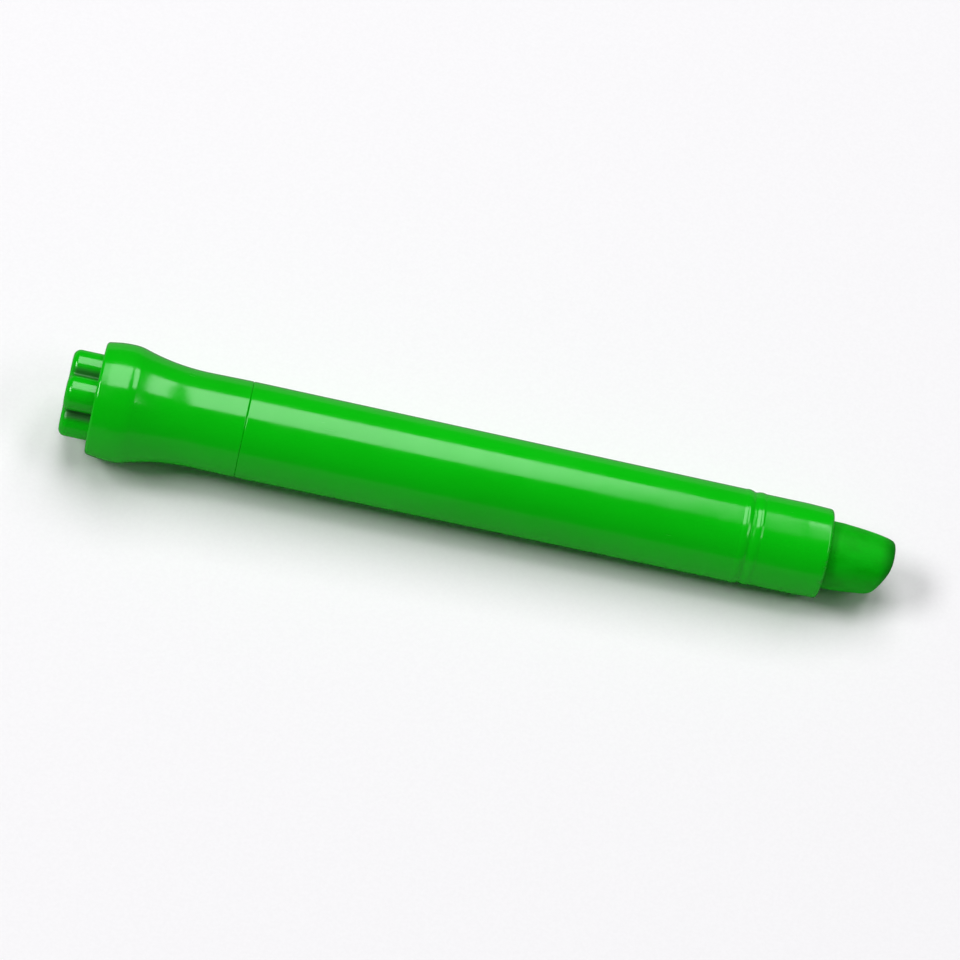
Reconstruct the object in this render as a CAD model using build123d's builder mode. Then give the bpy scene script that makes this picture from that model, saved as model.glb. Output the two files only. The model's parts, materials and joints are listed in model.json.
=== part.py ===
from build123d import *
import os
from math import cos, radians, sin

# Twist crayon lying on its side. The long axis runs along X, from the dial to the tip, and +Z is up.
# Sizes are in millimetres. Radii are from the long axis, and places along it from the dial's end.

# Crayon stick
stick_radius = 5.25
stick_out = 10.4
stick_retract = 11.2
tip_taper_width = 0.5
tip_taper_length = 8.5
tip_bevel_width = 0.6
tip_bevel_length = 2.0
tip_round = 0.7
wear_offset = 0.5
wear_length = 2.6
wear_roll = 211.0

# Carrier that pushes the stick
cup_wall = 0.6
cup_depth = 6.0
carrier_floor = 1.6
nut_length = 5.0
nut_wall = 1.1
retracted_gap = 0.5
stop_gap = 0.5

# Lead screw, left-handed, so that a clockwise twist of the dial pushes the stick out
thread_lead = 6.0
thread_starts = 2
thread_core = 1.4
thread_height = 0.6
ridge_root = 1.15
ridge_crest = 0.7
ridge_overlap = 0.15
thread_run_in = 1.0
spindle_run_out = 1.0
drive_hex = 1.38
flange_width = 0.8
flange_length = 1.2

# Twist dial
petal_count = 5
petal_radius = 3.0
petal_centre = 3.9
petal_reach = 4.6
petal_round = 1.1
petal_wall = 1.4
petal_skin = 1.5
petal_roll = 50.0
flute_round = 0.35
dial_ledge = 0.2
dial_recess = 0.5
dial_floor = 1.4
dial_skirt_wall = 1.2
dish_radius = 1.9
dish_depth = 1.0
spindle_proud = 0.3
hub_wall = 1.0
bead_height = 0.35
bead_flat = 0.4
skirt_lip = 0.5

# Seal ring
ring_section = 1.1
seal_pocket_depth = 0.9

# Tail collar
rim_wall = 1.95
rim_draw = 0.3
rim_round = 0.6
mouth_break = 0.3
band_length = 4.2
crown_length = 3.3
flare_length = 13.3
collar_length = 23.1
neck_waist = 0.15
snap_depth = 5.7
snap_width = 1.2
snap_groove_depth = 0.45
window_width = 2.2
web_thickness = 2.0
boss_length = 8.0
boss_wall = 1.0
spigot_length = 6.5
spigot_wall = 0.95
spigot_lead = 0.4

# Barrel
barrel_length = 77.9
barrel_wall_rear = 1.33
barrel_wall_front = 1.09
rib_count = 4
rib_width = 1.0
shoulder_length = 2.0
groove_width = 1.8
groove_depth = 0.2
ring_width = 0.6
ring_flat = 0.2
ring_height = 0.2
nose_length = 11.4
nose_wall = 1.55
nose_taper = 0.15
nose_taper_length = 4.0
mouth_round = 0.5
seam_break = 0.15

# Clearances
slide_gap = 0.3
rib_gap = 0.35
rib_side_gap = 0.2
nose_gap = 0.3
bore_gap = 0.35
thread_gap = 0.16
run_gap = 0.05
mouth_gap = 0.1
thrust_gap = 0.1
bead_gap = 0.12
web_gap = 0.3
ring_gap = 0.03
pocket_gap = 0.2
press_gap = 0.02

# Radii that follow, from the inside out
spindle_radius = thread_core + thread_height
stick_bore = spindle_radius + bore_gap
cup_radius = stick_radius + press_gap
carrier_radius = cup_radius + cup_wall
bevel_radius = stick_radius - tip_taper_width
nut_radius = spindle_radius + thread_gap + nut_wall
barrel_bore = carrier_radius + slide_gap
barrel_rear_radius = barrel_bore + barrel_wall_rear
barrel_front_radius = barrel_bore + barrel_wall_front
rib_tip = stick_radius + rib_gap
nose_bore = stick_radius + nose_gap
nose_radius = nose_bore + nose_wall
groove_radius = nose_radius - groove_depth
hub_radius = drive_hex + press_gap + hub_wall
hub_root_radius = hub_radius + ring_section
seal_pocket_radius = hub_root_radius + pocket_gap
boss_bore = hub_radius + run_gap
boss_radius = boss_bore + boss_wall
spigot_radius = barrel_bore - press_gap
spigot_bore = spigot_radius - spigot_wall
neck_radius = barrel_rear_radius - neck_waist
dial_radius = petal_centre + petal_radius + dial_ledge
mouth_radius = dial_radius + mouth_gap
flare_radius = mouth_radius + rim_wall
rim_radius = flare_radius - rim_draw
bead_radius = dial_radius + bead_height
snap_radius = mouth_radius + snap_groove_depth

# Places along the axis that follow, from the dial's end to the tip
rim_at = petal_reach
dial_top_at = rim_at + dial_recess
dial_floor_at = dial_top_at + dial_floor
snap_at = rim_at + snap_depth
snap_end_at = snap_at + snap_width
skirt_end_at = snap_end_at + skirt_lip
web_at = skirt_end_at + web_gap
seal_floor_at = web_at + seal_pocket_depth
ring_at = seal_floor_at - run_gap - ring_section / 2
hub_root_end_at = ring_at - ring_section / 2 - ring_gap
web_front_at = seal_floor_at + web_thickness
boss_end_at = web_at + boss_length
hub_end_at = boss_end_at + thrust_gap
flange_end_at = hub_end_at + flange_length
thread_at = flange_end_at + thread_run_in
band_end_at = rim_at + band_length
flare_end_at = band_end_at + flare_length
seam_at = rim_at + collar_length
spigot_end_at = seam_at + spigot_length
groove_at = seam_at + barrel_length
shoulder_at = groove_at - shoulder_length
nose_at = groove_at + groove_width
nose_end_at = nose_at + nose_length
tip_at = nose_end_at + stick_out
nut_at = spigot_end_at + retracted_gap + stick_retract
carrier_floor_at = nut_at + nut_length
cup_floor_at = carrier_floor_at + carrier_floor
cup_end_at = cup_floor_at + cup_depth
stick_extend = shoulder_at - stop_gap - cup_end_at
spindle_end_at = cup_floor_at + stick_extend + spindle_run_out
stick_bore_end_at = spindle_end_at + stick_retract + bore_gap

# The crayon rests on its flare, with the origin under its middle
rear_x = -tip_at / 2
side = Plane(origin=(rear_x, 0, flare_radius), x_dir=(1, 0, 0), z_dir=(0, -1, 0))
long_axis = Axis(side.origin, side.x_dir)


def outward(roll):
    """Unit vector square to the long axis, turned from +Y towards +Z."""
    return Vector(0, cos(radians(roll)), sin(radians(roll)))


def cross(place, roll=0):
    """Plane square to the long axis, facing the tip, with its own X turned from +Y towards +Z."""
    return Plane(origin=(rear_x + place, 0, flare_radius), x_dir=outward(roll), z_dir=(1, 0, 0))


def turned(outline):
    """Solid of revolution about the long axis, from corners given as (place, radius)."""
    with BuildPart() as body:
        with BuildSketch(side):
            with BuildLine():
                Polyline(*outline, close=True)
            make_face()
        revolve(axis=long_axis)
    return body.part


def screw_ridges(start, length, gap):
    """Helical ridges of the lead screw over a stretch of its length, grown by a gap on every flank."""
    inner = thread_core - ridge_overlap
    outer = spindle_radius + gap
    root = ridge_root / 2 + gap
    crest = ridge_crest / 2 + gap
    phase = -360 * (start - thread_at) / thread_lead
    with BuildPart() as ridges:
        for turn in range(thread_starts):
            foot = cross(start, phase + 360 * turn / thread_starts)
            path = foot * Helix(thread_lead, length, thread_core, lefthand=True, mode=Mode.PRIVATE)
            section = Plane(origin=path @ 0, x_dir=foot.x_dir, z_dir=path % 0)
            with BuildSketch(section) as profile:
                with BuildLine():
                    Polyline(
                        (inner - thread_core, -root),
                        (outer - thread_core, -crest),
                        (outer - thread_core, crest),
                        (inner - thread_core, root),
                        close=True,
                    )
                make_face()
            sweep(profile.sketch, path=path, is_frenet=True)
    return ridges.part


def screw(start, length, gap):
    """Core and ridges of the lead screw over a stretch of its length, grown by a gap all round."""
    with BuildPart() as body:
        with BuildSketch(cross(start)):
            Circle(thread_core + gap)
        extrude(amount=length)
        add(screw_ridges(start, length, gap))
    return body.part


os.makedirs("parts", exist_ok=True)

# Barrel: tapered tube with inner ribs, two fine rings and a slimmer nose that guides the stick
with BuildPart() as barrel:
    with BuildSketch(side) as barrel_profile:
        with BuildLine():
            Polyline(
                (seam_at, barrel_bore),
                (seam_at, barrel_rear_radius - seam_break),
                (seam_at + seam_break, barrel_rear_radius),
                (groove_at - ring_width / 2, barrel_front_radius),
                (groove_at - ring_flat / 2, barrel_front_radius + ring_height),
                (groove_at + ring_flat / 2, barrel_front_radius + ring_height),
                (groove_at + ring_width / 2, groove_radius),
                (nose_at - ring_width / 2, groove_radius),
                (nose_at - ring_flat / 2, nose_radius + ring_height),
                (nose_at + ring_flat / 2, nose_radius + ring_height),
                (nose_at + ring_width / 2, nose_radius),
                (nose_end_at - nose_taper_length, nose_radius),
                (nose_end_at, nose_radius - nose_taper),
                (nose_end_at, nose_bore),
                (shoulder_at, nose_bore),
                (shoulder_at, barrel_bore),
                close=True,
            )
        make_face()
        mouth = barrel_profile.vertices().group_by(Axis.X)[-1].sort_by(Axis.Y)[-1]
        fillet(mouth, mouth_round)
    revolve(axis=long_axis)
    rib_height = barrel_bore - rib_tip
    with BuildSketch(cross(spigot_end_at + retracted_gap)):
        with PolarLocations(rib_tip, rib_count):
            Rectangle(rib_height + barrel_wall_front / 2, rib_width, align=(Align.MIN, Align.CENTER))
    extrude(amount=shoulder_at - spigot_end_at - retracted_gap)
barrel.part.label = "barrel"
export_step(barrel.part, "parts/barrel.step")

# Tail collar: flared end piece that carries the dial and plugs into the barrel
with BuildPart() as tail_collar:
    with BuildSketch(side) as collar_profile:
        crown_drop = (flare_radius - neck_radius) * crown_length / flare_length
        crown_end = (band_end_at + crown_length, flare_radius - crown_drop)
        with BuildLine() as collar_outline:
            rim_arc = RadiusArc(
                (rim_at, rim_radius - rim_round), (rim_at + rim_round, rim_radius), rim_round
            )
            band = TangentArc((band_end_at, flare_radius), rim_arc @ 1, tangent=(-1, 0))
            crown = TangentArc(band @ 0, crown_end, tangent=(1, 0))
            hollow = TangentArc(crown @ 1, (flare_end_at, neck_radius), tangent=crown % 1)
            Polyline(
                hollow @ 1,
                (seam_at - seam_break, barrel_rear_radius),
                (seam_at, barrel_rear_radius - seam_break),
                (seam_at, spigot_radius),
                (spigot_end_at - spigot_lead, spigot_radius),
                (spigot_end_at, spigot_radius - spigot_lead),
                (spigot_end_at, spigot_bore),
                (web_front_at, spigot_bore),
                (web_front_at, boss_radius),
                (boss_end_at, boss_radius),
                (boss_end_at, boss_bore),
                (seal_floor_at, boss_bore),
                (seal_floor_at, seal_pocket_radius),
                (web_at, seal_pocket_radius),
                (web_at, mouth_radius),
                (snap_end_at, mouth_radius),
                (snap_end_at, snap_radius),
                (snap_at, snap_radius),
                (snap_at, mouth_radius),
                (rim_at + mouth_break, mouth_radius),
                (rim_at, mouth_radius + mouth_break),
                rim_arc @ 0,
            )
        make_face()
    revolve(axis=long_axis)
    # Snap window through the underside of the flare, open into the snap groove
    with BuildSketch(Plane.XY.offset(flare_radius)):
        with Locations((rear_x + snap_at + snap_width / 2, 0)):
            Rectangle(snap_width, window_width)
    extrude(amount=-flare_radius, mode=Mode.SUBTRACT)
tail_collar.part.label = "tail_collar"
export_step(tail_collar.part, "parts/tail_collar.step")

# Twist dial: five petals on a disc, with a snap skirt and a hub behind it
with BuildPart() as twist_dial:
    add(
        turned(
            [
                (dial_top_at, 0),
                (dial_top_at, dial_radius),
                (snap_at + bead_gap, dial_radius),
                (snap_at + bead_gap, bead_radius),
                (snap_at + bead_gap + bead_flat, bead_radius),
                (snap_end_at - bead_gap, dial_radius),
                (skirt_end_at, dial_radius),
                (skirt_end_at, dial_radius - dial_skirt_wall),
                (dial_floor_at, dial_radius - dial_skirt_wall),
                (dial_floor_at, hub_root_radius),
                (hub_root_end_at, hub_root_radius),
                (hub_root_end_at, hub_radius),
                (hub_end_at, hub_radius),
                (hub_end_at, 0),
            ]
        )
    )
    with BuildSketch(cross(0)) as petals:
        Circle(hub_root_radius)
        with PolarLocations(petal_centre, petal_count, petal_roll):
            Circle(petal_radius)
        fillet(petals.vertices(), flute_round)
    extrude(amount=dial_floor_at)
    fillet(twist_dial.faces().sort_by(Axis.X)[0].outer_wire().edges(), petal_round)
    with BuildSketch(cross(petal_skin)):
        with PolarLocations(petal_centre, petal_count, petal_roll):
            Circle(petal_radius - petal_wall)
    extrude(amount=dial_floor_at - petal_skin, mode=Mode.SUBTRACT)
    with BuildSketch(cross(0)):
        Circle(dish_radius)
    extrude(amount=dish_depth, mode=Mode.SUBTRACT)
    with BuildSketch(cross(0)):
        RegularPolygon(drive_hex + press_gap, 6)
    extrude(amount=hub_end_at, mode=Mode.SUBTRACT)
twist_dial.part.label = "twist_dial"
export_step(twist_dial.part, "parts/twist_dial.step")

# Spindle: hexagonal tail in the dial, a thrust flange and the lead screw
with BuildPart() as spindle:
    with BuildSketch(cross(dish_depth - spindle_proud)):
        RegularPolygon(drive_hex, 6)
    extrude(amount=hub_end_at - dish_depth + spindle_proud)
    with BuildSketch(cross(hub_end_at)):
        Circle(hub_radius + flange_width)
    extrude(amount=flange_length)
    with BuildSketch(cross(hub_end_at)):
        Circle(thread_core)
    extrude(amount=spindle_end_at - hub_end_at)
    add(screw_ridges(thread_at, spindle_end_at - thread_at - spindle_run_out / 2, 0))
spindle.part.label = "spindle"
export_step(spindle.part, "parts/spindle.step")

# Seal ring: round-section ring on the hub, against the collar's web
with BuildPart() as seal_ring:
    with BuildSketch(side):
        with Locations((ring_at, hub_radius + press_gap + ring_section / 2)):
            Circle(ring_section / 2)
    revolve(axis=long_axis)
seal_ring.part.label = "seal_ring"
export_step(seal_ring.part, "parts/seal_ring.step")

# Carrier: nut and slotted cup, guided by the barrel's ribs
with BuildPart() as carrier:
    add(
        turned(
            [
                (nut_at, 0),
                (nut_at, nut_radius),
                (carrier_floor_at, nut_radius),
                (carrier_floor_at, carrier_radius),
                (cup_end_at, carrier_radius),
                (cup_end_at, cup_radius),
                (cup_floor_at, cup_radius),
                (cup_floor_at, 0),
            ]
        )
    )
    slot_width = rib_width + 2 * rib_side_gap
    with BuildSketch(cross(carrier_floor_at)):
        with PolarLocations(stick_radius, rib_count):
            Rectangle(barrel_bore - stick_radius, slot_width, align=(Align.MIN, Align.CENTER))
    extrude(amount=cup_end_at - carrier_floor_at, mode=Mode.SUBTRACT)
    add(
        screw(nut_at - thread_lead, nut_length + carrier_floor + 2 * thread_lead, thread_gap),
        mode=Mode.SUBTRACT,
    )
carrier.part.label = "carrier"
export_step(carrier.part, "parts/carrier.step")

# Crayon stick: bored for the spindle, tapered and bevelled at the tip, worn at a slant on one side
with BuildPart() as crayon_stick:
    with BuildSketch(side) as stick_profile:
        with BuildLine():
            Polyline(
                (cup_floor_at, stick_bore),
                (cup_floor_at, stick_radius),
                (tip_at - tip_taper_length, stick_radius),
                (tip_at - tip_bevel_length, bevel_radius),
                (tip_at, bevel_radius - tip_bevel_width),
                (tip_at, 0),
                (stick_bore_end_at, 0),
                (stick_bore_end_at, stick_bore),
                close=True,
            )
        make_face()
        stations = stick_profile.vertices().group_by(Axis.X)
        bevel = stations[-2].sort_by(Axis.Y)[-1]
        rim = stations[-1].sort_by(Axis.Y)[-1]
        fillet([bevel, rim], tip_round)
    revolve(axis=long_axis)
    worn_from = cross(tip_at).origin + outward(wear_roll) * wear_offset
    worn_normal = Vector(stick_radius - wear_offset, 0, 0) + outward(wear_roll) * wear_length
    split(bisect_by=Plane(origin=worn_from, z_dir=worn_normal), keep=Keep.BOTTOM)
crayon_stick.part.label = "crayon_stick"
export_step(crayon_stick.part, "parts/crayon_stick.step")

print("overall length", round(tip_at, 2), "flare diameter", round(2 * flare_radius, 2))
print("stick travel", -stick_retract, "to", round(stick_extend, 2), "at", thread_lead, "a turn")
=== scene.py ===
import json
from math import acos, cos, pi, radians, sin, sqrt, tan

import bmesh
import bpy
import numpy as np
from mathutils import Matrix, Vector, noise


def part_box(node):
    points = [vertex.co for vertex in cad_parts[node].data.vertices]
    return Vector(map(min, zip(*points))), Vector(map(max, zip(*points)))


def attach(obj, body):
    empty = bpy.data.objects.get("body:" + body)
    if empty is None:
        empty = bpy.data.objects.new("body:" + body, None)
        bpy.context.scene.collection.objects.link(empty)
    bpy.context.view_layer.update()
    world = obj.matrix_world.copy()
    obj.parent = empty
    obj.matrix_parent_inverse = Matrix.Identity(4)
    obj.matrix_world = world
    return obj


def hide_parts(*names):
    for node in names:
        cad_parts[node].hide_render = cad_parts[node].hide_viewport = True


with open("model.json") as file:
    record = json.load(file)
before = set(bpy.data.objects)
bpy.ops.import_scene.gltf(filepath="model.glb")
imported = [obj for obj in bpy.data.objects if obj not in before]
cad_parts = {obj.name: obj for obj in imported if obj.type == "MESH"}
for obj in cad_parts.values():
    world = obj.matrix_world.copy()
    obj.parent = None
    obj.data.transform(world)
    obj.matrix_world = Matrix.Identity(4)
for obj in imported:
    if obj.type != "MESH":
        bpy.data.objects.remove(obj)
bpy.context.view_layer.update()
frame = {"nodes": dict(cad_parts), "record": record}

# Twist crayon lying on its side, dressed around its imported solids.
# The long axis runs along X. Sizes are in millimetres: places along the axis are counted from the
# dial's end, radii from the axis, and rolls in degrees from +Y towards +Z.

MM = 0.001
record = frame["record"]
rear_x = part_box("twist_dial")[0].x
axis_z = record["behaviour"]["joints"][0]["pos_m"][2]
housing_axis = Vector((rear_x, 0, axis_z))


def span(node):
    """Places where a node starts and ends, and its largest radius."""
    low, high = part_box(node)
    return (low.x - rear_x) / MM, (high.x - rear_x) / MM, (high.z - low.z) / 2 / MM


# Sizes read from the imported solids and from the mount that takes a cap
rim_at, spigot_end_at, flare_radius = span("tail_collar")
seam_at, nose_end_at, barrel_rear_radius = span("barrel")
stick_at, tip_at, stick_radius = span("crayon_stick")
dial_at, hub_end_at, bead_radius = span("twist_dial")
cap_seat = next(mount for mount in record["mounts"] if mount["name"] == "cap_seat")
nose_radius = cap_seat["dims"]["r_mm"]

# Barrel
barrel_bore = 6.17
barrel_front_radius = 7.26
groove_width = 1.8
groove_depth = 0.05
solid_ring_height = 0.2
ring_crest = 0.18
ring_foot = 0.75
ring_round = 2.0
ring_foot_round = 0.1
shoulder_length = 2.0
nose_length = 11.4
nose_bore = 5.55
nose_taper = 0.15
nose_taper_length = 4.0
nose_soften = 8.0
mouth_round = 0.5
bore_round = 0.25
seam_round = 0.2
inner_round = 0.1

# Tail collar
mouth_radius = 7.2
mouth_break = 0.3
rim_draw = 0.3
rim_round = 0.55
band_length = 4.2
crown_length = 2.0
flare_length = 12.0
neck_radius = 7.35
spigot_radius = 6.15
spigot_bore = 5.2
spigot_lead = 0.4
snap_depth = 5.7
snap_width = 1.2
snap_radius = 7.65
window_width = 2.2
window_chamfer = 0.16
web_gap = 0.3
web_depth = 2.9
boss_length = 8.0
boss_radius = 3.4
boss_bore = 2.42

# Twist dial
petal_count = 5
petal_radius = 2.75
petal_centre = 4.15
petal_round = 1.1
petal_roll = 50.0
flute_round = 0.3
petal_foot_round = 0.2
dial_recess = 0.5
dial_radius = 7.1
dial_edge_round = 0.2
dial_skirt_bore = 5.9
dial_floor = 1.4
skirt_lip = 0.5
bead_gap = 0.12
bead_flat = 0.4
hub_radius = 2.4
dish_radius = 1.9
dish_depth = 1.0
dish_round = 0.3
hex_corner_radius = 1.4

# Crayon stick
tip_taper_width = 0.5
tip_taper_length = 8.5
tip_bevel_width = 0.6
tip_bevel_length = 2.0
tip_heart_depth = 10.0
tip_sharpness = 22
wear_offset = 0.5
wear_length = 2.6
wear_roll = 211.0
stick_bore = 2.35
stick_bore_end_at = 109.65

# Unevenness of the stick
lump_size = 1.9
lump_share = 0.7
crumb_size = 0.5
crumb_share = 0.3
uneven_depth = 0.03
uneven_mean = 0.6
uneven_inside_nose = 4.0
uneven_end_length = 3.0
least_squeezed_radius = 1.0

# Wear in the materials, and painted shade in the dial's flutes, at the nose's mouth over a wax film, and at
# the stick's worn tip
rub_radius = 6.4
rub_width = 0.5
# Painted shade in the dial's flutes: the radius below which they darken, the width of the fade, and the end
# length kept free
flute_shade_radius = 6.1
flute_shade_width = 0.9
flute_shade_free_end = 0.2
# Length of the wax film at the mouth, whose darkening is painted shade
mouth_wax_and_shade_length = 1.2
# Depth from the tip at which its painted shade is full
full_tip_shade_depth = 0.3

# Mesh fineness
lathe_sides = 288
arc_steps = 9
longest_quad = 2.5
arc_quad = 0.6
edge_support = 0.05
support_room = 3 * edge_support
merge_distance = 0.0001
crease_angle = 35.0
petal_sides = 48
petal_wall_steps = 8
flute_sides = 9
flute_half_angle = 0.06  # in radians
dial_flat_shares = (0.25, 0.5, 0.75)
tip_steps = 120
body_steps = 60
least_nearness = 1e-6
quarter_turn = np.linspace(0, pi / 2, arc_steps)

# Places that follow
nose_at = nose_end_at - nose_length
nose_taper_at = nose_end_at - nose_taper_length
groove_at = nose_at - groove_width
groove_radius = nose_radius - groove_depth
shoulder_at = groove_at - shoulder_length
snap_at = rim_at + snap_depth
snap_end_at = snap_at + snap_width
band_end_at = rim_at + band_length
flare_end_at = band_end_at + flare_length
rim_radius = flare_radius - rim_draw
dial_top_at = rim_at + dial_recess
dial_floor_at = dial_top_at + dial_floor
skirt_end_at = snap_end_at + skirt_lip
web_at = skirt_end_at + web_gap
web_front_at = web_at + web_depth
boss_end_at = web_at + boss_length


# Outlines and skins

def rounded(corners):
    """Closed outline through corners (place, radius, round), each corner rounded by an arc."""
    spots = np.array([corner[:2] for corner in corners], float)
    legs = np.roll(spots, -1, 0) - spots
    lengths = np.linalg.norm(legs, axis=1)
    ways = legs / lengths[:, None]
    turns = [acos(np.clip(ways[i - 1] @ ways[i], -1, 1)) for i in range(len(corners))]
    reaches = np.array([corner[2] * tan(turn / 2) for corner, turn in zip(corners, turns)])
    room = lengths - reaches - np.roll(reaches, -1)
    points = []
    for i, (spot, turn) in enumerate(zip(spots, turns)):
        inwards = ways[i] - ways[i - 1]
        centre = spot + inwards / np.linalg.norm(inwards) * corners[i][2] / cos(turn / 2)
        start = spot - ways[i - 1] * reaches[i]
        end = spot + ways[i] * reaches[i]
        if room[i - 1] > support_room:
            points.append(start - ways[i - 1] * edge_support)
        steps = max(arc_steps, int(corners[i][2] * turn / arc_quad))
        for share in np.linspace(0, 1, steps + 1):
            swing = sin((1 - share) * turn) * (start - centre) + sin(share * turn) * (end - centre)
            points.append(centre + swing / sin(turn))
        if room[i] > support_room:
            points.append(end + ways[i] * edge_support)
    return divided(points)


def arc_bend(run, fall):
    """Radius of an arc that turns away from level by a fall over a run, and the reach to its corner."""
    radius = (run * run + fall * fall) / (2 * fall)
    return radius, radius * fall / run


def divided(points):
    """Closed outline with its long stretches cut into even lengths."""
    finer = []
    for here, following in zip(points, points[1:] + points[:1]):
        pieces = max(1, int(np.ceil(np.linalg.norm(following - here) / longest_quad)))
        finer += [here + (following - here) * step / pieces for step in range(pieces)]
    return finer


def lathe_rolls():
    """Even rolls of the points on a lathed piece, in radians."""
    return np.linspace(0, 2 * pi, lathe_sides, endpoint=False)


def ring(places, radii, rolls):
    """Points round the long axis, as (place, y, z). Place and radius are one value or one for each roll."""
    return np.stack([np.full(len(rolls), places), radii * np.cos(rolls), radii * np.sin(rolls)], axis=1)


def rings_along(outline, rolls):
    """Rings of points about the long axis, one for each (place, radius)."""
    return [ring(place, radius, rolls) for place, radius in outline]


def placed(name, data):
    """New object in the scene that carries a mesh, a camera or a lamp."""
    thing = bpy.data.objects.new(name, data)
    bpy.context.scene.collection.objects.link(thing)
    return thing


def skinned(name, rings, looped=True):
    """Object whose mesh is skinned over rings that have the same number of points."""
    rings = np.array(rings)
    count, sides = rings.shape[:2]
    points = rings.reshape(-1, 3) * MM + np.array(housing_axis)
    index = np.arange(count * sides).reshape(count, sides)
    if looped:
        index = np.vstack([index, index[:1]])
    here, following = index[:-1], index[1:]
    quads = np.stack([here, np.roll(here, -1, 1), np.roll(following, -1, 1), following], axis=-1)
    mesh = bpy.data.meshes.new(name)
    mesh.from_pydata(points.tolist(), [], quads.reshape(-1, 4).tolist())
    tidy_mesh(mesh)
    return placed(name, mesh)


def tidy_mesh(mesh):
    """Merges coincident points, turns the faces outwards and shades them smooth between sharp edges."""
    work = bmesh.new()
    work.from_mesh(mesh)
    bmesh.ops.remove_doubles(work, verts=work.verts, dist=merge_distance * MM)
    bmesh.ops.recalc_face_normals(work, faces=work.faces)
    for face in work.faces:
        face.smooth = True
    work.to_mesh(mesh)
    work.free()
    mesh.set_sharp_from_angle(angle=radians(crease_angle))


def cut_out(solid, tool):
    """Cuts a tool's shape out of a solid and removes the tool."""
    cut = solid.modifiers.new("cut", "BOOLEAN")
    cut.operation = "DIFFERENCE"
    cut.solver = "EXACT"
    cut.object = tool
    bpy.context.view_layer.update()
    shaped = solid.evaluated_get(bpy.context.evaluated_depsgraph_get())
    solid.data = bpy.data.meshes.new_from_object(shaped)
    solid.modifiers.clear()
    bpy.data.objects.remove(tool)
    tidy_mesh(solid.data)


def dress(solid, look, node, body):
    """Gives a piece its material and its place in the assembly."""
    solid.data.materials.append(look)
    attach(solid, body)
    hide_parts(node)


# Pieces

def make_barrel():
    """Tapered tube with two fine rings and the slimmer nose."""
    outline = rounded(
        [
            (seam_at, barrel_bore, inner_round),
            (seam_at, barrel_rear_radius, seam_round),
            (groove_at - ring_foot, barrel_front_radius, ring_foot_round),
            (groove_at, barrel_front_radius + ring_crest, ring_round),
            (groove_at + ring_foot, groove_radius, ring_foot_round),
            (nose_at - ring_foot, groove_radius, ring_foot_round),
            (nose_at, nose_radius + ring_crest, ring_round),
            (nose_at + ring_foot, nose_radius, ring_foot_round),
            (nose_taper_at, nose_radius, nose_soften),
            (nose_end_at, nose_radius - nose_taper, mouth_round),
            (nose_end_at, nose_bore, bore_round),
            (shoulder_at, nose_bore, inner_round),
            (shoulder_at, barrel_bore, inner_round),
        ]
    )
    return skinned("barrel_shell", rings_along(outline, lathe_rolls()))


def make_collar():
    """Flared tail with its neck, the socket for the dial, the plug for the barrel and a snap window."""
    crown_share = crown_length / flare_length
    fall = flare_radius - neck_radius
    band_arc, band_reach = arc_bend(band_length - 2 * rim_round, rim_draw)
    crown_arc, crown_reach = arc_bend(crown_length, fall * crown_share)
    hollow_arc, hollow_reach = arc_bend(flare_length - crown_length, fall * (1 - crown_share))
    outline = rounded(
        [
            (rim_at, mouth_radius, mouth_break),
            (rim_at, rim_radius - rim_draw / 2, rim_round),
            (band_end_at - band_reach, flare_radius, band_arc),
            (band_end_at + crown_reach, flare_radius, crown_arc),
            (flare_end_at - hollow_reach, neck_radius, hollow_arc),
            (seam_at, barrel_rear_radius, seam_round),
            (seam_at, spigot_radius, inner_round),
            (spigot_end_at, spigot_radius, spigot_lead),
            (spigot_end_at, spigot_bore, inner_round),
            (web_front_at, spigot_bore, inner_round),
            (web_front_at, boss_radius, inner_round),
            (boss_end_at, boss_radius, inner_round),
            (boss_end_at, boss_bore, inner_round),
            (web_at, boss_bore, inner_round),
            (web_at, mouth_radius, inner_round / 2),
            (snap_end_at, mouth_radius, inner_round / 2),
            (snap_end_at, snap_radius, inner_round),
            (snap_at, snap_radius, inner_round),
            (snap_at, mouth_radius, inner_round),
        ]
    )
    collar = skinned("collar_shell", rings_along(outline, lathe_rolls()))
    off_crown = snap_at + snap_width / 2 - band_end_at
    crown_height = sqrt(crown_arc**2 - off_crown**2)
    surface = flare_radius - crown_arc + crown_height
    cut_out(collar, make_window_cutter(surface, off_crown / crown_height))
    return collar


def make_window_cutter(surface, slope):
    """Block for the snap window in the underside, wider at the sloping surface to chamfer its edges."""
    inside = (mouth_radius + snap_radius) / 2
    sections = [
        (inside, 0, 0),
        (surface - window_chamfer, 0, slope),
        (surface + window_chamfer, 2 * window_chamfer, slope),
    ]
    middle = (snap_at + snap_end_at) / 2
    work = bmesh.new()
    loops = []
    for depth, grow, lean in sections:
        along = snap_width / 2 + grow
        across = window_width / 2 + grow
        corners = [(along, across), (-along, across), (-along, -across), (along, -across)]
        spots = [Vector((middle + a, b, a * lean - depth)) * MM + housing_axis for a, b in corners]
        loops.append([work.verts.new(spot) for spot in spots])
    for lower, upper in zip(loops, loops[1:]):
        for i in range(len(lower)):
            work.faces.new([lower[i - 1], lower[i], upper[i], upper[i - 1]])
    work.faces.new(loops[0])
    work.faces.new(loops[-1])
    bmesh.ops.recalc_face_normals(work, faces=work.faces)
    mesh = bpy.data.meshes.new("window_cutter")
    work.to_mesh(mesh)
    work.free()
    return placed("window_cutter", mesh)


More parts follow.
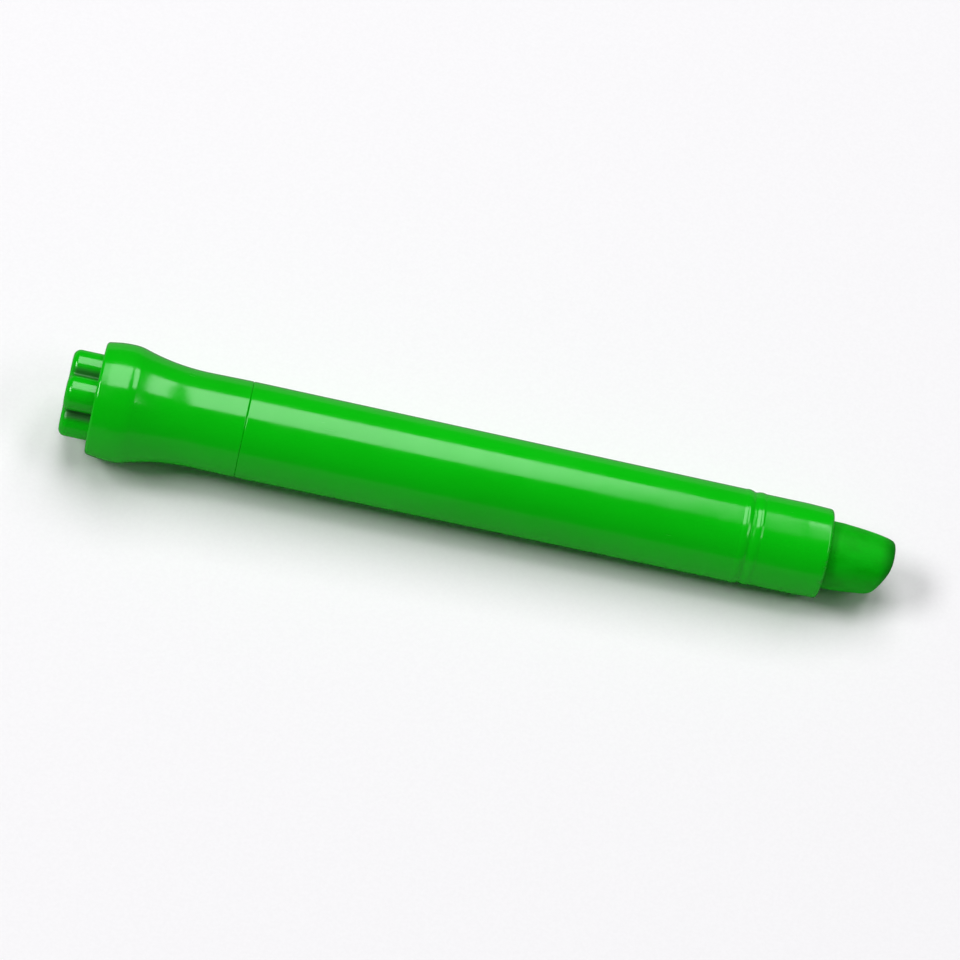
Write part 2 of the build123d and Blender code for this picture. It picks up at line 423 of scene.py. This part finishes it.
def petal_radii(rolls, inset):
    """Radius of the petal outline at each roll, drawn in all round by an inset."""
    lobe = petal_radius - inset
    flute = flute_round + inset
    half = pi / petal_count
    spread = petal_centre * sin(half)
    flute_centre = petal_centre * cos(half) + sqrt((petal_radius + flute_round) ** 2 - spread**2)
    off_petal = (rolls - radians(petal_roll) + half) % (2 * half) - half
    off_flute = half - np.abs(off_petal)
    on_lobe = np.maximum(lobe**2 - (petal_centre * np.sin(off_petal)) ** 2, 0)
    outer = petal_centre * np.cos(off_petal) + np.sqrt(on_lobe)
    on_flute = np.maximum(flute**2 - (flute_centre * np.sin(off_flute)) ** 2, 0)
    inner = flute_centre * np.cos(off_flute) - np.sqrt(on_flute)
    along = petal_centre * np.array((cos(half), sin(half)))
    contact = along + (np.array((flute_centre, 0)) - along) * lobe / (lobe + flute)
    touch = abs(np.arctan2(contact[1], contact[0]))
    return np.where(off_flute < touch, inner, outer)


def dial_rolls():
    """Rolls of the dial's points in radians, closer together in the flutes than on the petals."""
    half = pi / petal_count
    near = np.linspace(-flute_half_angle, flute_half_angle, flute_sides, endpoint=False)
    far = np.linspace(flute_half_angle, 2 * half - flute_half_angle, petal_sides, endpoint=False)
    steps = np.concatenate([near, far])
    flutes = [radians(petal_roll) + half * (2 * petal - 1) for petal in range(petal_count)]
    return np.concatenate([flute + steps for flute in flutes])


def dial_end_rings(rolls):
    """Rings of the hexagonal hole, the dish in the dial's end and the flat round it."""
    hex_step = pi / 3
    off_flat = rolls % hex_step - hex_step / 2
    hex_radii = hex_corner_radius * cos(hex_step / 2) / np.cos(off_flat)
    dish_floor_at = dial_at + dish_depth
    edge = dish_radius + dish_round
    flat = petal_radii(rolls, petal_round) - edge
    dish = [(dish_floor_at, hex_corner_radius + edge_support), (dish_floor_at, dish_radius)]
    dish += [
        (dial_at + dish_round * (1 - sin(a)), dish_radius + dish_round * (1 - cos(a))) for a in quarter_turn
    ]
    dish += [(dial_at, edge + flat * share) for share in dial_flat_shares]
    return rings_along([(hub_end_at, hex_radii), (dish_floor_at, hex_radii)] + dish, rolls)


def petal_rings(rolls):
    """Rings of the petals, from their rounded ends to the fillet at their foot."""
    wall_end = dial_top_at - petal_foot_round
    walls = np.linspace(dial_at + petal_round, wall_end, petal_wall_steps)[1:]
    insets = [
        (dial_at + petal_round * (1 - cos(a)), petal_round * (1 - sin(a))) for a in quarter_turn
    ]
    insets += [(place, 0) for place in walls]
    insets += [
        (wall_end + petal_foot_round * sin(a), -petal_foot_round * (1 - cos(a)))
        for a in quarter_turn[1:-2]
    ]
    return [ring(place, petal_radii(rolls, inset), rolls) for place, inset in insets]


def dial_disc_rings(rolls):
    """Rings of the disc under the petals, the snap bead, the skirt and the hub."""
    bead_at = snap_at + bead_gap
    outline = [
        (dial_top_at + dial_edge_round * (1 - cos(a)), dial_radius - dial_edge_round * (1 - sin(a)))
        for a in quarter_turn
    ]
    outline += [
        (bead_at, dial_radius),
        (bead_at + edge_support, bead_radius - edge_support),
        (bead_at + 2 * edge_support, bead_radius),
        (bead_at + bead_flat, bead_radius),
        (snap_end_at - bead_gap, dial_radius),
        (skirt_end_at, dial_radius),
        (skirt_end_at, dial_skirt_bore),
        (dial_floor_at, dial_skirt_bore),
        (dial_floor_at, hub_radius),
        (hub_end_at, hub_radius),
    ]
    return rings_along(outline, rolls)


def make_dial():
    """Five-petal dial with a dished end, on a disc with a snap skirt and a hub."""
    rolls = dial_rolls()
    return skinned("dial_knob", dial_end_rings(rolls) + petal_rings(rolls) + dial_disc_rings(rolls))


def tip_rings(heart_at, rolls):
    """Rings of the tip, cast from a heart on the axis to its walls, which blend where they meet."""
    bevel_at = tip_at - tip_bevel_length
    bevel_radius = stick_radius - tip_taper_width
    taper_normal = (tip_taper_width, tip_taper_length - tip_bevel_length)
    bevel_normal = (tip_bevel_width, tip_bevel_length)
    wear_normal = (stick_radius - wear_offset, wear_length)
    off_wear = np.cos(rolls - radians(wear_roll))

    def nearness(ahead, out, normal, place, radius):
        """How near a wall lies in a direction from the heart: 1 over the distance to it."""
        limit = normal[0] * (place - heart_at) + normal[1] * radius
        return np.maximum((normal[0] * ahead + normal[1] * out) / limit, least_nearness)

    rings = []
    for angle in np.linspace(0, pi / 2, tip_steps):
        ahead, out = cos(angle), np.full(len(rolls), sin(angle))
        side = nearness(ahead, out, (0, 1), tip_at, stick_radius)
        taper = nearness(ahead, out, taper_normal, bevel_at, bevel_radius)
        bevel = nearness(ahead, out, bevel_normal, bevel_at, bevel_radius)
        end = nearness(ahead, out, (1, 0), tip_at, 0)
        worn = nearness(ahead, out * off_wear, wear_normal, tip_at, wear_offset)
        walls = (np.maximum(side, taper), bevel, end, worn)
        nearest = sum(wall**tip_sharpness for wall in walls) ** (1 / tip_sharpness)
        rings.append(ring(heart_at + ahead / nearest, sin(angle) / nearest, rolls))
    return rings


def make_stick():
    """Gel crayon, tapered and bevelled at its end, worn flat at a slant and slightly uneven."""
    rolls = lathe_rolls()
    heart_at = tip_at - tip_heart_depth
    body = [(place, stick_radius) for place in np.linspace(heart_at, stick_at, body_steps)[1:]]
    bore = [(stick_at, stick_bore), (stick_bore_end_at, stick_bore), (stick_bore_end_at, 0.0)]
    points = np.array(tip_rings(heart_at, rolls) + rings_along(body + bore, rolls))
    roughen(points)
    return skinned("wax_stick", points, looped=False)


def roughen(points):
    """Draws the outside of the stick in by a fine unevenness that grows towards the tip."""
    uneven_at = nose_end_at - uneven_inside_nose
    uneven_end_at = tip_at - uneven_end_length
    for point in points.reshape(-1, 3):
        radius = sqrt(point[1] ** 2 + point[2] ** 2)
        if radius < stick_bore + edge_support and point[0] < stick_bore_end_at + edge_support:
            continue
        spot = Vector(point)
        lump = lump_share * noise.noise(spot / lump_size) + crumb_share * noise.noise(spot / crumb_size)
        worn = np.clip((point[0] - uneven_at) / (tip_at - uneven_at), 0, 1)
        draw_in = uneven_depth * worn * (uneven_mean + lump)
        if radius > edge_support:
            point[1:] *= 1 - draw_in / max(radius, least_squeezed_radius)
        point[0] -= draw_in * np.clip((point[0] - uneven_end_at) / uneven_end_length, 0, 1)


# Materials

shell_deep = (0.0, 0.475, 0.001)
shell_light = (0.0, 0.535, 0.002)
shell_scratch = (0.06, 0.62, 0.06)
shell_sheen = (0.8, 1.0, 0.85, 1.0)
# Painted shade in the dial's flutes
flute_shade_green = (0.002, 0.06, 0.003)
wax_deep = (0.0, 0.38, 0.001)
wax_light = (0.0, 0.46, 0.003)
wax_streak = (0.001, 0.52, 0.004)
# Painted shade at the stick's tip
painted_tip_shade = (0.0, 0.16, 0.002)
wax_sheen = (0.5, 1.0, 0.5, 1.0)
milky_deep = (0.70, 0.70, 0.66)
milky_light = (0.80, 0.80, 0.77)
rubber_deep = (0.012, 0.012, 0.013)
rubber_bloom = (0.03, 0.03, 0.03)
floor_deep = (0.905, 0.895, 0.915)
floor_light = (0.925, 0.915, 0.935)
floor_mirrored = (0.17, 0.17, 0.17)

# Range that most of a noise lies in, its roughness, and distances to a scratch's core and edge
noise_low = 0.3
noise_high = 0.7
noise_roughness = 0.55
scratch_core = 0.04
scratch_edge = 0.09


class Look:
    """Node material, with short calls for the nodes that the looks below share."""

    def __init__(self, name):
        self.material = bpy.data.materials.new(name)
        self.material.use_nodes = True
        self.tree = self.material.node_tree
        self.shader = self.tree.nodes["Principled BSDF"]
        object_place = self.add("ShaderNodeTexCoord").outputs["Object"]
        shift = self.add(
            "ShaderNodeVectorMath", {0: object_place, 1: tuple(housing_axis)}, operation="SUBTRACT"
        ).outputs[0]
        self.place = self.add(
            "ShaderNodeVectorMath", {0: shift, "Scale": 1 / MM}, operation="SCALE"
        ).outputs[0]
        self.along, y, z = self.add("ShaderNodeSeparateXYZ", {0: self.place}).outputs
        across = self.add("ShaderNodeCombineXYZ", {1: y, 2: z}).outputs[0]
        self.radius = self.add("ShaderNodeVectorMath", {0: across}, operation="LENGTH").outputs["Value"]

    def add(self, kind, inputs=None, **settings):
        """New node with its settings, and its inputs set to values or linked to sockets."""
        node = self.tree.nodes.new(kind)
        for key, value in settings.items():
            setattr(node, key, value)
        for key, value in (inputs or {}).items():
            self.join(node.inputs[key], value)
        return node

    def join(self, socket, value):
        """Links an input to another socket, or sets it to a value."""
        if isinstance(value, bpy.types.NodeSocket):
            self.tree.links.new(value, socket)
        else:
            socket.default_value = value

    def finish(self, **values):
        """Sets the shader's inputs, named with underscores for spaces, and returns the material."""
        for key, value in values.items():
            self.join(self.shader.inputs[key.replace("_", " ")], value)
        return self.material

    def stretched(self, scale, turn=(0, 0, 0)):
        """Place on the piece, turned by degrees and scaled along each axis."""
        return self.add(
            "ShaderNodeMapping",
            {"Vector": self.place, "Scale": scale, "Rotation": tuple(radians(t) for t in turn)},
        ).outputs[0]

    def grain(self, size, detail=3.0, stretch=(1, 1, 1)):
        """Noise from 0 to 1 with features of about a size in millimetres."""
        place = self.stretched(tuple(s / size for s in stretch))
        return self.add(
            "ShaderNodeTexNoise",
            {"Vector": place, "Scale": 1.0, "Detail": detail, "Roughness": noise_roughness},
        ).outputs[0]

    def ramp(self, value, low, high, to_low=0.0, to_high=1.0):
        """Value eased from one range to another, held beyond its ends."""
        return self.add(
            "ShaderNodeMapRange",
            {0: value, 1: low, 2: high, 3: to_low, 4: to_high},
            interpolation_type="SMOOTHSTEP",
        ).outputs[0]

    def varied(self, grain, low=0.0, high=1.0):
        """Value that wanders between two limits with a noise."""
        return self.ramp(grain, noise_low, noise_high, low, high)

    def math(self, operation, first, second):
        """Sum, product or the like of two values."""
        return self.add("ShaderNodeMath", {0: first, 1: second}, operation=operation).outputs[0]

    def both(self, first, second):
        """Product of two masks or of a mask and an amount."""
        return self.math("MULTIPLY", first, second)

    def mix(self, factor, first, second):
        """Colour between two colours."""
        node = self.add("ShaderNodeMix", data_type="RGBA")
        self.join(node.inputs[0], factor)
        for socket, value in ((node.inputs[6], first), (node.inputs[7], second)):
            self.join(socket, (*value, 1.0) if isinstance(value, tuple) else value)
        return node.outputs[2]

    def tinted(self, colour, mask, amount, tint):
        """Colour drawn towards a tint by an amount where a mask is 1."""
        return self.mix(self.both(mask, amount), colour, tint)

    def rougher(self, roughness, mask, amount):
        """Roughness raised by an amount where a mask is 1."""
        return self.math("ADD", roughness, self.both(mask, amount))

    def scratches(self, length, width, density, turn):
        """Short fine lines that run mostly along the piece, 1 on a line and 0 beside it."""
        cells = self.add(
            "ShaderNodeTexVoronoi",
            {"Vector": self.stretched((1 / length, 1 / width, 1 / width), turn), "Scale": density},
        ).outputs["Distance"]
        return self.ramp(cells, scratch_core, scratch_edge, 1.0, 0.0)

    def bump(self, height, depth, under=None):
        """Normal bent by a height from 0 to 1 that stands for a depth in millimetres."""
        inputs = {"Height": height, "Distance": depth * MM, "Strength": 1.0}
        if under is not None:
            inputs["Normal"] = under
        return self.add("ShaderNodeBump", inputs).outputs[0]


def crossed_scratches(look):
    """Patches of fine scratches in two directions that cross at a low angle."""
    rightward = look.scratches(length=5.0, width=0.35, density=0.5, turn=(0, 0, 14))
    leftward = look.scratches(length=7.0, width=0.4, density=0.4, turn=(0, 0, -9))
    patchy = look.ramp(look.grain(6.0), 0.50, 0.66)
    return look.both(look.math("MAXIMUM", rightward, leftward), patchy)


def shell_look(name, rub_from=None, flute_shade_to=None, wax_and_shade_from=None):
    """Glossy plastic: faint flow marks, fine scratches, rubbed edges, painted shade in the flutes, and a
    wax film darkened with painted shade at the mouth.
    """
    look = Look(name)
    cloud = look.grain(14.0, stretch=(0.4, 1, 1))
    flow = look.grain(1.1, stretch=(0.05, 1, 1), detail=4.0)
    haze = look.grain(4.0, detail=5.0)
    lines = crossed_scratches(look)
    colour = look.mix(look.varied(cloud), shell_deep, shell_light)
    colour = look.tinted(colour, lines, 0.06, shell_scratch)
    roughness = look.ramp(haze, 0.3, 0.75, 0.12, 0.18)
    roughness = look.rougher(roughness, lines, 0.18)
    if rub_from is not None:
        edge = look.ramp(look.radius, rub_from, rub_from + rub_width)
        rub = look.both(edge, look.ramp(look.grain(1.5), 0.45, 0.65))
        roughness = look.rougher(roughness, rub, 0.08)
    # Painted shade: the dial's flutes darkened towards their floor, patchily, and made rougher
    if flute_shade_to is not None:
        flute = look.ramp(look.radius, flute_shade_to - flute_shade_width, flute_shade_to, 1.0, 0.0)
        wall = look.ramp(look.along, dial_at + flute_shade_free_end, dial_at + petal_round)
        painted_flute_shade = look.both(look.both(flute, wall), look.ramp(haze, 0.2, 0.5, 0.75, 1.0))
        colour = look.tinted(colour, painted_flute_shade, 0.8, flute_shade_green)
        roughness = look.rougher(roughness, painted_flute_shade, 0.35)
    # Wax film on the nose towards its mouth, smudged and rougher; its darkening is painted shade at the
    # mouth
    if wax_and_shade_from is not None:
        smudge = look.ramp(look.grain(0.9, stretch=(0.5, 1, 1)), 0.46, 0.62)
        wax_and_shade_film = look.both(look.ramp(look.along, wax_and_shade_from, nose_end_at), smudge)
        colour = look.tinted(colour, wax_and_shade_film, 0.7, wax_deep)
        roughness = look.rougher(roughness, wax_and_shade_film, 0.25)
    peel = look.bump(look.grain(0.5, detail=2.0), 0.002)
    relief = look.math("SUBTRACT", flow, look.both(lines, 0.8))
    return look.finish(
        Base_Color=colour,
        Roughness=roughness,
        Normal=look.bump(relief, 0.003, under=peel),
        IOR=1.6,
        Specular_Tint=shell_sheen,
    )


def wax_look():
    """Gel wax: satin, streaked along its length, smeared, and darkened with painted shade where the tip is
    worn.
    """
    look = Look("green_wax")
    streaks = look.grain(0.6, detail=5.0, stretch=(0.12, 1, 1))
    smears = look.grain(3.0, detail=4.0, stretch=(0.7, 1, 1))
    # Painted shade: the tip darkened towards its worn end
    worn = look.ramp(look.along, tip_at - wear_length, tip_at - full_tip_shade_depth)
    colour = look.mix(look.ramp(smears, 0.3, 0.72), wax_deep, wax_light)
    colour = look.mix(look.ramp(streaks, 0.55, 0.8, 0.0, 0.25), colour, wax_streak)
    colour = look.tinted(colour, worn, 0.8, painted_tip_shade)
    drag = look.bump(streaks, 0.025)
    return look.finish(
        Base_Color=colour,
        Roughness=look.varied(smears, 0.42, 0.6),
        Normal=look.bump(look.grain(0.3), 0.01, under=drag),
        IOR=1.44,
        Specular_IOR_Level=0.2,
        Specular_Tint=wax_sheen,
        Subsurface_Weight=0.12,
        Subsurface_Radius=(0.2, 1.0, 0.2),
        Subsurface_Scale=0.6 * MM,
    )


def mechanism_look():
    """Natural moulded plastic of the screw and carrier: milky and cloudy, with a fine texture."""
    look = Look("milky_plastic")
    cloud = look.grain(3.0, detail=4.0)
    return look.finish(
        Base_Color=look.mix(look.varied(cloud), milky_deep, milky_light),
        Roughness=look.varied(look.grain(0.8), 0.34, 0.48),
        Normal=look.bump(look.grain(0.15), 0.01),
    )


def seal_look():
    """Matt black rubber with a fine bloom."""
    look = Look("black_rubber")
    bloom = look.grain(0.9, detail=4.0)
    return look.finish(
        Base_Color=look.mix(look.ramp(bloom, 0.35, 0.7), rubber_deep, rubber_bloom),
        Roughness=look.varied(bloom, 0.6, 0.8),
        Normal=look.bump(look.grain(0.12), 0.01),
    )


def floor_look():
    """Smooth matt white, dimmer where gloss mirrors it."""
    look = Look("white_floor")
    mottle = look.grain(0.5, detail=5.0)
    mirrored = look.add("ShaderNodeLightPath").outputs["Is Glossy Ray"]
    colour = look.mix(look.varied(mottle), floor_deep, floor_light)
    return look.finish(
        Base_Color=look.mix(mirrored, colour, floor_mirrored),
        Roughness=look.varied(look.grain(3.0), 0.85, 0.95),
        Normal=look.bump(mottle, 0.01),
        Specular_IOR_Level=0.15,
    )


# Assembly

barrel_look = shell_look("green_barrel", wax_and_shade_from=nose_end_at - mouth_wax_and_shade_length)
collar_look = shell_look("green_collar")
dial_look = shell_look("green_dial", rub_from=rub_radius, flute_shade_to=flute_shade_radius)
dress(make_barrel(), barrel_look, "barrel", "housing")
dress(make_collar(), collar_look, "tail_collar", "housing")
dress(make_dial(), dial_look, "twist_dial", "dial")
dress(make_stick(), wax_look(), "crayon_stick", "stick")

milky = mechanism_look()
for node, look in (("spindle", milky), ("carrier", milky), ("seal_ring", seal_look())):
    slots = frame["nodes"][node].data.materials
    slots.clear()
    slots.append(look)


# Floor, camera and light

floor_reach = 6000.0
middle = Vector((rear_x + tip_at / 2 * MM, 0, axis_z))
view_from = Vector((-38, -433, 693)) * MM
axis_fall = radians(12.1)
frame_width = 147 * MM
near_clip = 10 * MM
room_light = 0.05


def make_floor():
    """Floor, tilted to touch the flare at its widest and the solid's ring at the barrel's front."""
    rise = flare_radius - barrel_front_radius - solid_ring_height
    run = groove_at - band_end_at
    slope = np.arctan2(rise, run)
    touch = Vector((rear_x + band_end_at * MM, 0, axis_z - flare_radius * MM))
    corners = [(-1, -1, 0), (1, -1, 0), (1, 1, 0), (-1, 1, 0)]
    mesh = bpy.data.meshes.new("floor")
    mesh.from_pydata([Vector(corner) * (floor_reach * MM) for corner in corners], [], [(0, 1, 2, 3)])
    mesh.materials.append(floor_look())
    plane = placed("floor", mesh)
    plane.rotation_euler = (0, -slope, 0)
    plane.location = touch - Vector((cos(slope), 0, sin(slope))) * (touch.x / cos(slope))
    return plane


def aim(thing, place, target, up):
    """Places a camera or lamp so that it looks at a target."""
    back = (place - target).normalized()
    right = up.cross(back).normalized()
    turn = Matrix((right, back.cross(right), back)).transposed()
    thing.matrix_world = Matrix.Translation(place) @ turn.to_4x4()


def make_camera():
    """Camera at the photograph's viewing angle, with the long axis falling to the right."""
    back = view_from.normalized()
    seen_axis = (Vector((1, 0, 0)) - back * back.x).normalized()
    picture_up = back.cross(seen_axis) * cos(axis_fall) - seen_axis * sin(axis_fall)
    data = bpy.data.cameras.new("camera")
    data.lens = data.sensor_width * view_from.length / frame_width
    data.clip_start = near_clip
    camera = placed("camera", data)
    aim(camera, middle + view_from, middle, picture_up)
    return camera


def softbox(name, offset, width, height, power):
    """Soft light at an offset from the crayon's middle, in metres and watts."""
    data = bpy.data.lights.new(name, "AREA")
    data.shape = "RECTANGLE"
    data.size = width
    data.size_y = height
    data.energy = power
    aim(placed(name, data), middle + Vector(offset), middle, Vector((0, 1, 0)))


floor = make_floor()
bpy.context.scene.camera = make_camera()

# Large soft box above and behind, a tall narrow one beyond the tip, and one overhead at each side
softbox("main_softbox", (-0.34, 0.95, 2.4), width=1.2, height=2.27, power=34.5)
softbox("tip_softbox", (0.8, 1.05, 2.21), width=0.5, height=1.97, power=13.2)
softbox("left_softbox", (-1.65, -0.35, 1.98), width=0.7, height=1.2, power=31)
softbox("right_softbox", (1.65, -0.35, 1.98), width=0.7, height=1.2, power=8)

world = bpy.data.worlds.new("room")
world.use_nodes = True
world.node_tree.nodes["Background"].inputs["Color"].default_value = (1, 1, 1, 1)
world.node_tree.nodes["Background"].inputs["Strength"].default_value = room_light
bpy.context.scene.world = world
bpy.context.scene.view_settings.view_transform = "Standard"
